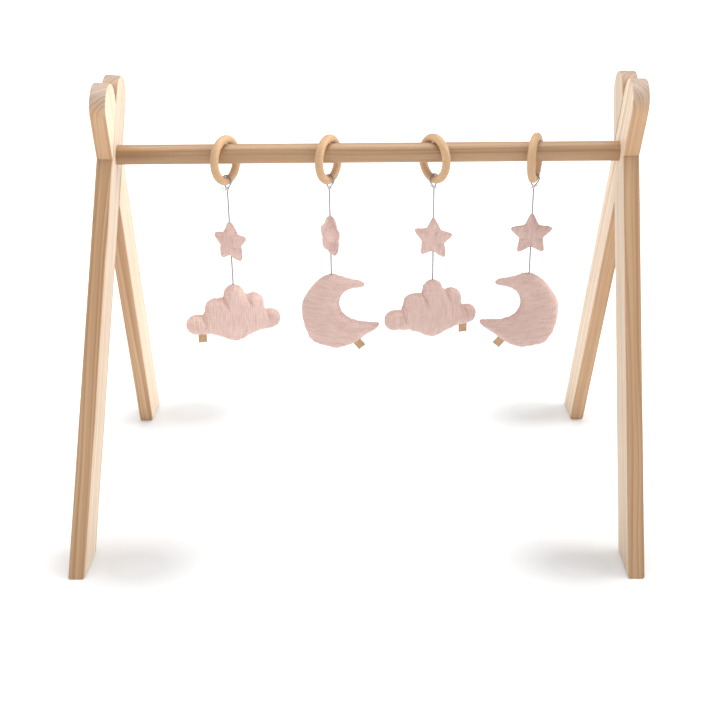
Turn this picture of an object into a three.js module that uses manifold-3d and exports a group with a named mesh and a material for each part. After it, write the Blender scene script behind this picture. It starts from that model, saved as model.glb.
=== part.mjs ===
// Activity play gym: two crossed-leg side frames joined by a round bar, with four wooden rings on the bar.
// Each ring carries a cord with a small stuffed star and, below it, a stuffed cloud or crescent moon.
// Millimetres. +X runs along the bar, +Y points to the back, +Z is up, and the feet stand on z = 0.
import * as THREE from "three";
import { mergeVertices } from "three/addons/utils/BufferGeometryUtils.js";
import Module from "manifold-3d";

const wasm = await Module();
wasm.setup();

// ---- Driving dimensions ----

const gap = 0.3; // clearance between pieces that touch

const bar = { length: 560, radius: 11, height: 416 };
const leg = { width: 48, thickness: 18, tilt: 25, topReach: 65, easing: 1.5, footEasing: 2.2 };
const splay = { left: 4, right: 0 }; // how far each side frame leans out at its feet, in degrees
const lapOverrun = 1; // how far a cutter runs past the face that it cuts

const bolt = {
  shankRadius: 3,
  headRadius: 7.5,
  headHeight: 2.4,
  reach: 20,
  tipChamfer: 0.6,
  headChamfer: 1,
  socketRadius: 2.3,
  socketDepth: 1.6,
};
const washer = { radius: 9, thickness: 1.2 };
const insert = { radius: 5, length: 21, barbs: 4, barbDepth: 0.5, barbSlope: 0.9, drillRoom: 3 };

const ring = { radius: 23.25, rodRadius: 4.75 };
const loopCordRadius = 0.9;
const cord = { radius: 0.9, steps: 9 };
const knot = { radius: 2.3, tailLength: 6.5, tailRadius: 0.6 };

const star = {
  tipRadius: 29,
  notchRadius: 14.3,
  tipRounding: 8.5,
  notchRounding: 2,
  thickness: 15,
  bevel: 1.5,
};
const cloud = { thickness: 26, bevel: 4, outlineSteps: 72, middle: [0, -40] };
const moon = { thickness: 25, bevel: 0.8, outlineSteps: 72 };
const tag = { width: 9.5, height: 8.5, thickness: 1.6 };

// A cloud is a belly with two shoulders, under one tall lobe, two side lobes and two end lobes. Further circles
// where the lobes run into the belly keep the necks between them broad.
// Each circle is [x, z, radius] from the top of the tall lobe, where the cord is sewn in.
const cloudCircles = [
  [0, -12.5, 12.5],
  [-12.5, -25.5, 11],
  [12.5, -23, 11],
  [-23, -28, 12.5],
  [-23, -37, 14.5],
  [23, -24.5, 12.5],
  [22.5, -34, 13.5],
  [-45.5, -46.5, 13],
  [-34.5, -47.5, 12.5],
  [42, -46, 12.5],
  [32, -46.5, 13.5],
  [-16, -43.5, 20.5],
  [15, -43.5, 20.5],
  [0, -48.5, 22.5],
];

// A crescent that opens towards +X: its sewn edge from the upper horn, round the bay, to the lower horn
// and back over the outside. The cord is sewn in at (0, 0).
const moonEdge = [
  [39.5, -10.5],
  [36.5, -14.5],
  [23, -17.5],
  [13, -24],
  [9, -35],
  [11.5, -46],
  [18.5, -53.5],
  [31, -57],
  [46, -57.5],
  [55, -57.5],
  [56, -61.5],
  [51.5, -67],
  [39.5, -75],
  [26, -85.5],
  [8, -92],
  [-9, -90],
  [-25, -83.5],
  [-35, -61],
  [-36, -37],
  [-26, -19],
  [-14, -6],
  [0, 0],
  [22, -4.5],
  [34.5, -6.5],
];

// The four hangers, from left to right. at is the place along the bar from its middle, turns are about
// the vertical in degrees, counterclockwise from above, and tag is the side that the tag is sewn on.
const hangers = [
  { at: -159, ringTurn: -25, starTop: 338.5, starTurn: -35, kind: "cloud", top: 261.5, turn: 14, tag: "left" },
  { at: -43, ringTurn: -25, starTop: 345.5, starTurn: -69, kind: "moon", top: 273.5, turn: -8, tag: "right" },
  { at: 75.5, ringTurn: 32, starTop: 341.5, starTurn: -27, kind: "cloud", top: 266, turn: 14, tag: "right" },
  { at: 188, ringTurn: -18, starTop: 345.5, starTurn: 0, kind: "moon", top: 273.5, turn: 0, tag: "left" },
];
// Where a tag sticks out: near is a point [x, z] just inside the seam, and the tag points lean degrees
// away from straight down. A moon opens to the side that its tag is on.
const tagSeats = {
  cloud: {
    left: { near: [-40, -50], lean: 0 },
    right: { near: [38.5, -50], lean: 0 },
  },
  moon: {
    left: { near: [-27, -80], lean: -40 },
    right: { near: [27, -80], lean: 40 },
  },
};

// ---- Materials ----

const pine = new THREE.MeshStandardMaterial({ color: 0xe6c8a0, roughness: 0.6 });
const barWood = new THREE.MeshStandardMaterial({ color: 0xd0a47a, roughness: 0.55 });
const ringWood = new THREE.MeshStandardMaterial({ color: 0xe8c690, roughness: 0.45 });
const steel = new THREE.MeshStandardMaterial({ color: 0xb8b8ba, roughness: 0.35, metalness: 1 });
const brass = new THREE.MeshStandardMaterial({ color: 0xb8975a, roughness: 0.4, metalness: 1 });
const string = new THREE.MeshStandardMaterial({ color: 0xd9d5d6, roughness: 0.9 });
const muslin = new THREE.MeshStandardMaterial({ color: 0xe3c1bb, roughness: 0.95 });
const tan = new THREE.MeshStandardMaterial({ color: 0xc69d6a, roughness: 0.8 });

// ---- Helpers ----

const radians = THREE.MathUtils.degToRad;

function toSolid(geometry) {
  const bare = geometry.clone();
  bare.deleteAttribute("normal");
  bare.deleteAttribute("uv");
  const merged = mergeVertices(bare, 1e-4);
  return new wasm.Manifold(
    new wasm.Mesh({
      numProp: 3,
      vertProperties: new Float32Array(merged.attributes.position.array),
      triVerts: new Uint32Array(merged.index.array),
    }),
  );
}

function toGeometry(solid) {
  const mesh = solid.getMesh();
  const geometry = new THREE.BufferGeometry();
  geometry.setAttribute("position", new THREE.BufferAttribute(new Float32Array(mesh.vertProperties), 3));
  geometry.setIndex(new THREE.BufferAttribute(new Uint32Array(mesh.triVerts), 1));
  geometry.computeVertexNormals();
  return geometry;
}

function piece(name, geometry, material) {
  const mesh = new THREE.Mesh(geometry, material);
  mesh.name = name;
  return mesh;
}

// A plate of the outline's full size, with its edges bevelled inwards and its thickness centred on z = 0.
function plate(shape, thickness, bevel, bevelSegments, curveSegments) {
  const geometry = new THREE.ExtrudeGeometry(shape, {
    depth: thickness - 2 * bevel,
    bevelThickness: bevel,
    bevelSize: bevel,
    bevelOffset: -bevel,
    bevelSegments,
    curveSegments,
  });
  return geometry.translate(0, 0, bevel - thickness / 2);
}

// A tube of a cord along a curve.
function cordTube(curve, radius, steps) {
  const section = new THREE.Shape().absarc(0, 0, radius, 0, 2 * Math.PI);
  return new THREE.ExtrudeGeometry(section, { extrudePath: curve, steps, curveSegments: 4 });
}

// A cylinder along the local X axis, from x0 to x1.
function rodAlongX(radius, x0, x1, sides) {
  const geometry = new THREE.CylinderGeometry(radius, radius, x1 - x0, sides);
  return geometry.rotateZ(-Math.PI / 2).translate((x0 + x1) / 2, 0, 0);
}

// A profile of [radius, distance] points turned about the local X axis.
function turnedAboutX(profile, segments) {
  const points = profile.map(([r, x]) => new THREE.Vector2(r, x));
  return new THREE.LatheGeometry(points, segments).rotateZ(-Math.PI / 2);
}

// ---- Side frames ----

// In a side frame's own axes +X points out from the bar's end, and the legs cross at the origin.
function legBlank(direction) {
  const half = leg.width / 2;
  const bottom = -(bar.height / Math.cos(radians(leg.tilt)) + leg.width);
  const shape = new THREE.Shape();
  shape.moveTo(-half, bottom);
  shape.lineTo(half, bottom);
  shape.lineTo(half, leg.topReach);
  shape.absarc(0, leg.topReach, half, 0, Math.PI);
  shape.lineTo(-half, bottom);
  const geometry = plate(shape, leg.thickness, leg.easing, 2, 12);
  const standing = new THREE.Matrix4().makeBasis(
    new THREE.Vector3(0, 1, 0),
    new THREE.Vector3(0, 0, 1),
    new THREE.Vector3(1, 0, 0),
  );
  geometry.applyMatrix4(standing).rotateX(-direction * radians(leg.tilt));
  return geometry.translate(leg.thickness / 2, 0, 0);
}

// The slab of one half of the leg's thickness, cut to the other leg's outline: what a half-lap takes away.
function lapCutter(direction, fromX, toX) {
  const width = leg.width + 2 * gap;
  const block = new THREE.BoxGeometry(toX - fromX, width, 4 * leg.width);
  return block.rotateX(-direction * radians(leg.tilt)).translate((fromX + toX) / 2, 0, 0);
}

// What eases the two long edges of the feet: a square bar on its edge along each of them, at floor level.
function footCutters(outward, lean) {
  const a = radians(lean);
  const inner = bar.length / 2 + bar.height * Math.tan(a);
  const edge = Math.SQRT2 * leg.footEasing;
  return [inner, inner + leg.thickness / Math.cos(a)].map((x) =>
    new THREE.BoxGeometry(edge, 2 * bar.length, edge).rotateY(Math.PI / 4).translate(outward * x, 0, 0),
  );
}

function sideFrame(side, outward, lean) {
  const group = new THREE.Group();
  group.position.set((outward * bar.length) / 2, 0, bar.height);
  group.rotation.set(0, -outward * radians(lean), outward < 0 ? Math.PI : 0);
  group.updateMatrix();

  const floor = new THREE.BoxGeometry(2 * bar.length, 2 * bar.length, 2 * leg.width);
  floor.translate(0, 0, -leg.width);
  const below = [floor, ...footCutters(outward, lean)];
  for (const cutter of below) cutter.applyMatrix4(group.matrix.clone().invert());
  const holeEnd = leg.thickness + lapOverrun;
  const boltHole = toSolid(rodAlongX(bolt.shankRadius + gap, -lapOverrun, holeEnd, 24));
  const middle = leg.thickness / 2;
  const cutters = {
    outer: (direction) => lapCutter(direction, -lapOverrun, middle + gap / 2),
    inner: (direction) => lapCutter(direction, middle - gap / 2, leg.thickness + lapOverrun),
  };
  // direction is +1 for the leg whose foot is at local -Y. half is the half that it keeps at the crossing.
  for (const [direction, half] of [
    [1, "outer"],
    [-1, "inner"],
  ]) {
    let solid = toSolid(legBlank(direction)).subtract(toSolid(cutters[half](-direction))).subtract(boltHole);
    for (const cutter of below) solid = solid.subtract(toSolid(cutter));
    const place = direction * outward > 0 ? "front" : "back";
    group.add(piece(`leg_${side}_${place}`, toGeometry(solid), pine));
  }

  const washerAt = leg.thickness + gap;
  const washerProfile = [
    [bolt.shankRadius + gap, washerAt],
    [washer.radius, washerAt],
    [washer.radius, washerAt + washer.thickness],
    [bolt.shankRadius + gap, washerAt + washer.thickness],
    [bolt.shankRadius + gap, washerAt],
  ];
  group.add(piece(`washer_${side}`, turnedAboutX(washerProfile, 24), steel));

  const headAt = washerAt + washer.thickness + gap;
  const headTop = headAt + bolt.headHeight;
  const boltProfile = [
    [0, -bolt.reach],
    [bolt.shankRadius - bolt.tipChamfer, -bolt.reach],
    [bolt.shankRadius, -bolt.reach + bolt.tipChamfer],
    [bolt.shankRadius, headAt],
    [bolt.headRadius, headAt],
    [bolt.headRadius, headTop - bolt.headChamfer],
    [bolt.headRadius - bolt.headChamfer, headTop],
    [0, headTop],
  ];
  const socket = rodAlongX(bolt.socketRadius, headTop - bolt.socketDepth, headTop + lapOverrun, 6);
  const boltSolid = toSolid(turnedAboutX(boltProfile, 24)).subtract(toSolid(socket));
  group.add(piece(`bolt_${side}`, toGeometry(boltSolid), steel));

  // The insert is a barbed sleeve, flush with the bar's end.
  const insertEnd = -2 * gap;
  const insertStart = insertEnd - insert.length;
  const pitch = insert.length / insert.barbs;
  const insertProfile = [[bolt.shankRadius + gap, insertStart]];
  for (let i = 0; i < insert.barbs; i++) {
    insertProfile.push([insert.radius - insert.barbDepth, insertStart + i * pitch]);
    insertProfile.push([insert.radius, insertStart + (i + insert.barbSlope) * pitch]);
  }
  insertProfile.push([insert.radius - insert.barbDepth, insertEnd]);
  insertProfile.push([bolt.shankRadius + gap, insertEnd]);
  insertProfile.push([bolt.shankRadius + gap, insertStart]);
  group.add(piece(`insert_${side}`, turnedAboutX(insertProfile, 20), brass));
  return group;
}

// The bar fills the room between the two side frames, so each end is cut to its frame's lean.
function crossbar(frames) {
  const overlong = bar.length / 2 + leg.thickness;
  let solid = toSolid(rodAlongX(bar.radius, -overlong, overlong, 48).translate(0, 0, bar.height));
  for (const frame of frames) {
    const beyond = new THREE.BoxGeometry(4 * leg.thickness, 4 * leg.width, 4 * leg.width);
    beyond.translate(2 * leg.thickness - gap, 0, 0).applyMatrix4(frame.matrix);
    const hole = rodAlongX(insert.radius + gap, -insert.length - insert.drillRoom, lapOverrun, 24);
    hole.applyMatrix4(frame.matrix);
    solid = solid.subtract(toSolid(beyond)).subtract(toSolid(hole));
  }
  return piece("crossbar", toGeometry(solid), barWood);
}

// ---- Hangers ----

const barTop = bar.height + bar.radius;
const ringCentre = barTop + gap - (ring.radius - ring.rodRadius);
const rodBottom = ringCentre - ring.radius;
const loopRadius = ring.rodRadius + gap + loopCordRadius;
const knotCentre = rodBottom - loopRadius - loopCordRadius - gap - knot.radius;

function starShape() {
  const corners = [];
  for (let i = 0; i < 10; i++) {
    const radius = i % 2 ? star.notchRadius : star.tipRadius;
    const angle = Math.PI / 2 + (i * Math.PI) / 5;
    corners.push(new THREE.Vector2(radius * Math.cos(angle), radius * Math.sin(angle)));
  }
  const shape = new THREE.Shape();
  corners.forEach((corner, i) => {
    const rounding = i % 2 ? star.notchRounding : star.tipRounding;
    const towards = (other) => corner.clone().add(other.clone().sub(corner).setLength(rounding));
    const before = towards(corners[(i + 9) % 10]);
    const after = towards(corners[(i + 1) % 10]);
    if (i === 0) shape.moveTo(before.x, before.y);
    else shape.lineTo(before.x, before.y);
    shape.quadraticCurveTo(corner.x, corner.y, after.x, after.y);
  });
  shape.closePath();
  return shape;
}

// How far a rounded tip and a rounded notch lie from the star's middle.
const starEdge = Math.hypot(
  star.tipRadius - star.notchRadius * Math.cos(Math.PI / 5),
  star.notchRadius * Math.sin(Math.PI / 5),
);
const tipCosine = (star.tipRadius - star.notchRadius * Math.cos(Math.PI / 5)) / starEdge;
const notchCosine = (star.tipRadius * Math.cos(Math.PI / 5) - star.notchRadius) / starEdge;
const starReach = star.tipRadius - (star.tipRounding * tipCosine) / 2;
const starNotch = star.notchRadius + (star.notchRounding * notchCosine) / 2;

// The outline of the cloud's circles together, as seen from a point inside all its lobes.
function cloudShape() {
  const [middleX, middleZ] = cloud.middle;
  const points = [];
  for (let i = 0; i < cloud.outlineSteps; i++) {
    const angle = Math.PI / 2 + (i * 2 * Math.PI) / cloud.outlineSteps;
    const dx = Math.cos(angle);
    const dz = Math.sin(angle);
    let reach = 0;
    for (const [x, z, r] of cloudCircles) {
      const along = (x - middleX) * dx + (z - middleZ) * dz;
      const across = (x - middleX) * dz - (z - middleZ) * dx;
      if (Math.abs(across) < r) reach = Math.max(reach, along + Math.sqrt(r * r - across * across));
    }
    points.push(new THREE.Vector2(middleX + reach * dx, middleZ + reach * dz));
  }
  return new THREE.Shape(points);
}

function moonShape(side) {
  const mirror = side === "left" ? -1 : 1;
  const corners = moonEdge.map(([x, z]) => new THREE.Vector3(mirror * x, z, 0));
  const curve = new THREE.CatmullRomCurve3(corners, true, "catmullrom", 0.5);
  const points = curve.getPoints(moon.outlineSteps).slice(0, -1);
  return new THREE.Shape(points.map((p) => new THREE.Vector2(p.x, p.y)));
}

// A flat outline in x and z, stood up so that its face looks along -Y.
function standUp(geometry) {
  return geometry.rotateX(Math.PI / 2);
}

// A round knot whose two tails arch out to the left and right and drop at their ends.
function knotGeometry() {
  const reach = knot.tailLength;
  let solid = toSolid(new THREE.SphereGeometry(knot.radius, 10, 7));
  for (const side of [-1, 1]) {
    const tail = new THREE.QuadraticBezierCurve3(
      new THREE.Vector3(0, 0, 0),
      new THREE.Vector3(side * 0.55 * reach, -0.1 * reach, 0.06 * reach),
      new THREE.Vector3(side * reach, -0.12 * reach, -0.1 * reach * (1 + 2 * side)),
    );
    solid = solid.add(toSolid(cordTube(tail, knot.tailRadius, 3)));
  }
  return toGeometry(solid);
}

// A tag that hangs out of the seam: slid outwards from its seat until it is clear of the outline.
function tagGeometry(outline, seat) {
  const lean = radians(seat.lean);
  const out = new THREE.Vector2(Math.sin(lean), -Math.cos(lean));
  const across = new THREE.Vector2(Math.cos(lean), Math.sin(lean));
  const near = new THREE.Vector2(...seat.near);
  const seam = outline
    .map((point) => point.clone().sub(near))
    .filter((point) => Math.abs(point.dot(across)) < tag.width)
    .map((point) => point.dot(out));
  const middle = near.addScaledVector(out, Math.max(...seam) + gap + tag.height / 2);
  const label = new THREE.BoxGeometry(tag.width, tag.thickness, tag.height);
  return label.rotateY(-lean).translate(middle.x, 0, middle.y);
}

function pendant(hanger, number) {
  const group = new THREE.Group();
  group.position.set(0, 0, hanger.top);
  group.rotation.z = radians(hanger.turn);
  const isCloud = hanger.kind === "cloud";
  const shape = isCloud ? cloudShape() : moonShape(hanger.tag);
  const size = isCloud ? cloud : moon;
  const body = standUp(plate(shape, size.thickness, size.bevel, 1, 1));
  group.add(piece(`${hanger.kind}_${number}`, body, muslin));
  const label = tagGeometry(shape.getPoints(), tagSeats[hanger.kind][hanger.tag]);
  group.add(piece(`tag_${number}`, label, tan));
  return group;
}

function hangingCord(from, to) {
  const line = new THREE.LineCurve3(new THREE.Vector3(0, 0, from), new THREE.Vector3(0, 0, to));
  return cordTube(line, cord.radius, cord.steps);
}

function hangerGroup(hanger, number) {
  const group = new THREE.Group();
  group.position.x = hanger.at;

  const turn = radians(hanger.ringTurn);
  const torus = new THREE.TorusGeometry(ring.radius, ring.rodRadius, 8, 32);
  torus.rotateY(Math.PI / 2).rotateZ(turn).translate(0, 0, ringCentre);
  group.add(piece(`ring_${number}`, torus, ringWood));

  const loop = new THREE.TorusGeometry(loopRadius, loopCordRadius, 6, 14);
  loop.rotateX(Math.PI / 2).rotateZ(turn).translate(0, 0, rodBottom);
  group.add(piece(`loop_${number}`, loop, string));
  group.add(piece(`knot_${number}`, knotGeometry().translate(0, 0, knotCentre), string));

  const upper = hangingCord(knotCentre - knot.radius - gap, hanger.starTop + gap);
  group.add(piece(`upper_cord_${number}`, upper, string));

  const starMiddle = hanger.starTop - starReach;
  const starPlate = standUp(plate(starShape(), star.thickness, star.bevel, 1, 3));
  starPlate.rotateZ(radians(hanger.starTurn)).translate(0, 0, starMiddle);
  group.add(piece(`star_${number}`, starPlate, muslin));

  const lower = hangingCord(starMiddle - starNotch - 2 * gap, hanger.top + gap);
  group.add(piece(`lower_cord_${number}`, lower, string));
  group.add(pendant(hanger, number));
  return group;
}

// ---- Assembly ----

// How far a side frame reaches from the bar's middle: to its foot's outer edge before easing, or its bolt head.
function sideReach(lean) {
  const a = radians(lean);
  const foot = leg.thickness / Math.cos(a) + bar.height * Math.tan(a);
  const head = (leg.thickness + washer.thickness + bolt.headHeight + 2 * gap) * Math.cos(a);
  return bar.length / 2 + Math.max(foot, head);
}
// The origin is on the floor, midway between the two sides' furthest points.
const barShift = (sideReach(splay.left) - sideReach(splay.right)) / 2;

const gym = new THREE.Group();
gym.position.x = barShift;
const leftFrame = sideFrame("left", -1, splay.left);
const rightFrame = sideFrame("right", 1, splay.right);
gym.add(leftFrame, rightFrame, crossbar([leftFrame, rightFrame]));
hangers.forEach((hanger, i) => gym.add(hangerGroup(hanger, i + 1)));

export default gym;
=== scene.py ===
"""The looks of the baby play gym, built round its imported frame.

Metres. +X runs along the bar, +Y points to the back, +Z is up."""

import math

import bpy
import numpy as np
from mathutils import Matrix, Vector, geometry, noise


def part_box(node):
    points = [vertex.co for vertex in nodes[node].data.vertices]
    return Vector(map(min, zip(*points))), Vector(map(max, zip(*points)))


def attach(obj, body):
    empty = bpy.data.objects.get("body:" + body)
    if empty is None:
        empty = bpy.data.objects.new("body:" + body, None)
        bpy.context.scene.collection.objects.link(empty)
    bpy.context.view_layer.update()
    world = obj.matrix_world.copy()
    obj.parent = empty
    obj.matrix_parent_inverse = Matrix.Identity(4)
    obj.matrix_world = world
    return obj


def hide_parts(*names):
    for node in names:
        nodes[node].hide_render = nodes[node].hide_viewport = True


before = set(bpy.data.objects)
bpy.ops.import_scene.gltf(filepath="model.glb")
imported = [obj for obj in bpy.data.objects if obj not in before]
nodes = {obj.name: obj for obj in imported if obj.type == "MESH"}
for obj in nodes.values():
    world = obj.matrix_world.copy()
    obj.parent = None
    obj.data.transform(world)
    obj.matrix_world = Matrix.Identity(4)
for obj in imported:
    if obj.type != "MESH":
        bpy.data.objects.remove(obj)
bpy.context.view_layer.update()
scene = bpy.context.scene

MM = 0.001

# ---- The design's numbers, as in the CAD source ----

BAR_HEIGHT = 0.416
LEG_TILT = math.radians(25)
LEFT_LEAN = math.radians(4)
RING_RADIUS = 23.25 * MM
RING_ROD = 4.75 * MM
LOOP_RADIUS = 5.95 * MM
LOOP_CORD = 0.9 * MM
KNOT_Z = 0.3761
STAR_TIP = 29
STAR_NOTCH = 14.3
STAR_TIP_ROUNDING = 8.5
STAR_NOTCH_ROUNDING = 2
CLOUD_MIDDLE = (0, -40)
CLOUD_CIRCLES = [
    (0, -12.5, 12.5),
    (-12.5, -25.5, 11),
    (12.5, -23, 11),
    (-23, -28, 12.5),
    (-23, -37, 14.5),
    (23, -24.5, 12.5),
    (22.5, -34, 13.5),
    (-45.5, -46.5, 13),
    (-34.5, -47.5, 12.5),
    (42, -46, 12.5),
    (32, -46.5, 13.5),
    (-16, -43.5, 20.5),
    (15, -43.5, 20.5),
    (0, -48.5, 22.5),
]
MOON_EDGE = [
    (39.5, -10.5),
    (36.5, -14.5),
    (23, -17.5),
    (13, -24),
    (9, -35),
    (11.5, -46),
    (18.5, -53.5),
    (31, -57),
    (46, -57.5),
    (55, -57.5),
    (56, -61.5),
    (51.5, -67),
    (39.5, -75),
    (26, -85.5),
    (8, -92),
    (-9, -90),
    (-25, -83.5),
    (-35, -61),
    (-36, -37),
    (-26, -19),
    (-14, -6),
    (0, 0),
    (22, -4.5),
    (34.5, -6.5),
]
HANGERS = [
    {"n": 1, "kind": "cloud", "ring": -25, "star": -35, "turn": 14, "side": -1},
    {"n": 2, "kind": "moon", "ring": -25, "star": -69, "turn": -8, "side": 1},
    {"n": 3, "kind": "cloud", "ring": 32, "star": -27, "turn": 14, "side": 1},
    {"n": 4, "kind": "moon", "ring": -18, "star": 0, "turn": 0, "side": -1},
]
for hanger in HANGERS:
    n = hanger["n"]
    low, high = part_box(f"upper_cord_{n}")
    hanger["x"] = (low.x + high.x) / 2
    star_low, star_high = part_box(f"star_{n}")
    hanger["star_top"] = star_high.z
    hanger["notch"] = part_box(f"lower_cord_{n}")[1].z
    hanger["top"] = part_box(f"{hanger['kind']}_{n}")[1].z

# ---- Camera ----

PITCH, YAW, ROLL = math.radians(23.191), math.radians(1.202), math.radians(-0.733)
CAMERA_PLACE = (0.02707, -1.20807, 0.68148)
SENSOR_WIDTH, LENS = 36, 54.3  # mm
camera = bpy.data.objects.new("camera", bpy.data.cameras.new("camera"))
scene.collection.objects.link(camera)
camera.data.sensor_width = SENSOR_WIDTH
camera.data.lens = LENS
forward = Vector((0, math.cos(PITCH), -math.sin(PITCH)))
up = Vector((0, math.sin(PITCH), math.cos(PITCH)))
turn = Matrix.Rotation(YAW, 3, "Z")
forward, up, right = turn @ forward, turn @ up, turn @ Vector((1, 0, 0))
rolled_right = math.cos(ROLL) * right + math.sin(ROLL) * up
rolled_up = math.cos(ROLL) * up - math.sin(ROLL) * right
camera_turn = Matrix((rolled_right, rolled_up, -forward)).transposed()
camera.matrix_world = Matrix.Translation(CAMERA_PLACE) @ camera_turn.to_4x4()
scene.camera = camera

# ---- Small helpers ----


def linear(r, g, b):
    """An sRGB colour, 0 to 255, as linear RGBA."""
    channels = [c / 255 for c in (r, g, b)]
    return [c / 12.92 if c <= 0.04045 else ((c + 0.055) / 1.055) ** 2.4 for c in channels] + [1.0]


def link_mesh(name, vertices, faces):
    """A smoothly shaded mesh, put into the scene."""
    mesh = bpy.data.meshes.new(name)
    mesh.from_pydata([tuple(v) for v in vertices], [], [tuple(f) for f in faces])
    mesh.polygons.foreach_set("use_smooth", [True] * len(mesh.polygons))
    piece = bpy.data.objects.new(name, mesh)
    scene.collection.objects.link(piece)
    return piece


def set_material(piece, material):
    piece.data.materials.clear()
    piece.data.materials.append(material)


def frames_along(path):
    """Two unit vectors across a path at each of its points, turning as little as they can."""
    along = np.gradient(path, axis=0)
    along /= np.linalg.norm(along, axis=1)[:, None]
    start = np.array((0.0, 1.0, 0.0)) if abs(along[0][1]) < 0.9 else np.array((1.0, 0.0, 0.0))
    first = []
    for direction in along:
        start = start - (start @ direction) * direction
        start /= np.linalg.norm(start)
        first.append(start)
    first = np.array(first)
    return first, np.cross(along, first)


def tube(path, radii, sides=8):
    """A closed tube's vertices and faces; radii is one number or one for each point."""
    path = np.asarray(path, float)
    radii = np.broadcast_to(radii, len(path))
    first, second = frames_along(path)
    angles = np.arange(sides) * 2 * math.pi / sides
    cosine, sine = np.cos(angles)[None, :, None], np.sin(angles)[None, :, None]
    outwards = cosine * first[:, None] + sine * second[:, None]
    points = (path[:, None] + radii[:, None, None] * outwards).reshape(-1, 3)
    points = np.vstack([points, path[:1], path[-1:]])
    faces = []
    for i in range(len(path) - 1):
        for j in range(sides):
            k = (j + 1) % sides
            faces.append((i * sides + j, i * sides + k, (i + 1) * sides + k, (i + 1) * sides + j))
    first_cap, last_cap = len(path) * sides, len(path) * sides + 1
    last_row = (len(path) - 1) * sides
    for j in range(sides):
        k = (j + 1) % sides
        faces.append((first_cap, k, j))
        faces.append((last_cap, last_row + j, last_row + k))
    return points, faces


def joined(parts):
    """Several sets of vertices and faces as one."""
    points, faces = [], []
    for part_points, part_faces in parts:
        start = sum(len(p) for p in points)
        points.append(np.asarray(part_points))
        faces += [tuple(i + start for i in face) for face in part_faces]
    return np.vstack(points), faces


def spaced(path, step):
    """The same path with points a step apart."""
    path = np.asarray(path, float)
    lengths = np.concatenate([[0], np.cumsum(np.linalg.norm(np.diff(path, axis=0), axis=1))])
    count = max(2, int(round(lengths[-1] / step)) + 1)
    places = np.linspace(0, lengths[-1], count)
    return np.stack([np.interp(places, lengths, path[:, k]) for k in range(3)], 1)


def twisted(path, radius, pitch=4.2 * MM, plies=3, sides=7):
    """Twine along a path: plies laid round each other, with that outer radius."""
    path = spaced(path, pitch / 12)
    lengths = np.concatenate([[0], np.cumsum(np.linalg.norm(np.diff(path, axis=0), axis=1))])
    first, second = frames_along(path)
    ply = 0.6 * radius  # over half, so that the plies press into each other
    parts = []
    for i in range(plies):
        angle = lengths / pitch * 2 * math.pi + i * 2 * math.pi / plies
        offset = np.cos(angle)[:, None] * first + np.sin(angle)[:, None] * second
        parts.append(tube(path + (radius - ply) * offset, ply, sides))
    return joined(parts)


# ---- Materials ----


class Nodes:
    """A material's node tree, with short calls for the nodes that are used often."""

    def __init__(self, name):
        self.material = bpy.data.materials.new(name)
        self.material.use_nodes = True
        self.tree = self.material.node_tree
        self.shader = self.tree.nodes["Principled BSDF"]

    def add(self, kind, inputs=None, **settings):
        node = self.tree.nodes.new(kind)
        for key, value in settings.items():
            setattr(node, key, value)
        for key, value in (inputs or {}).items():
            if isinstance(value, bpy.types.NodeSocket):
                self.tree.links.new(value, node.inputs[key])
            else:
                node.inputs[key].default_value = value
        return node

    def math(self, operation, a, b=0.0):
        return self.add("ShaderNodeMath", {0: a, 1: b}, operation=operation).outputs[0]

    def vector(self, operation, a, b=(0, 0, 0)):
        node = self.add("ShaderNodeVectorMath", {0: a, 1: b}, operation=operation)
        scalar = operation in ("DOT_PRODUCT", "LENGTH", "DISTANCE")
        return node.outputs["Value" if scalar else "Vector"]

    def noise(self, vector, scale, detail=2.0, roughness=0.5, output="Fac"):
        inputs = {"Vector": vector, "Scale": scale, "Detail": detail, "Roughness": roughness}
        return self.add("ShaderNodeTexNoise", inputs).outputs[output]

    def bands(self, vector, scale, distortion, detail_scale):
        """Soft bands across X, and the same across Z."""
        inputs = {"Vector": vector, "Scale": scale, "Distortion": distortion}
        inputs |= {"Detail": 1.0, "Detail Scale": detail_scale}
        return [
            self.add("ShaderNodeTexWave", inputs, wave_type="BANDS", bands_direction=way).outputs["Fac"]
            for way in ("X", "Z")
        ]

    def ramp(self, factor, *stops):
        """Greys between stops, each a position and a grey."""
        node = self.add("ShaderNodeValToRGB", {"Fac": factor})
        while len(node.color_ramp.elements) < len(stops):
            node.color_ramp.elements.new(0.5)
        for element, (position, grey) in zip(node.color_ramp.elements, stops):
            element.position = position
            element.color = (grey, grey, grey, 1)
        return node.outputs["Color"]

    def mix(self, factor, a, b, blend="MIX"):
        node = self.add("ShaderNodeMix", data_type="RGBA", blend_type=blend)
        for socket, value in zip((node.inputs[0], node.inputs[6], node.inputs[7]), (factor, a, b)):
            if isinstance(value, bpy.types.NodeSocket):
                self.tree.links.new(value, socket)
            else:
                socket.default_value = value
        return node.outputs[2]

    def tinted(self, colour, r, g, b):
        """The colour multiplied by another."""
        return self.mix(1.0, colour, (r, g, b, 1), "MULTIPLY")

    def remap(self, value, low, high, to_low=0.0, to_high=1.0):
        inputs = {"Value": value, "From Min": low, "From Max": high, "To Min": to_low, "To Max": to_high}
        return self.add("ShaderNodeMapRange", inputs, clamp=True).outputs["Result"]

    def bump(self, height, distance, strength=1.0, normal=None):
        inputs = {"Height": height, "Distance": distance, "Strength": strength}
        if normal is not None:
            inputs["Normal"] = normal
        return self.add("ShaderNodeBump", inputs).outputs["Normal"]

    def set(self, **inputs):
        for key, value in inputs.items():
            socket = self.shader.inputs[key.replace("_", " ")]
            if isinstance(value, bpy.types.NodeSocket):
                self.tree.links.new(value, socket)
            else:
                socket.default_value = value
        return self.material


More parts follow.
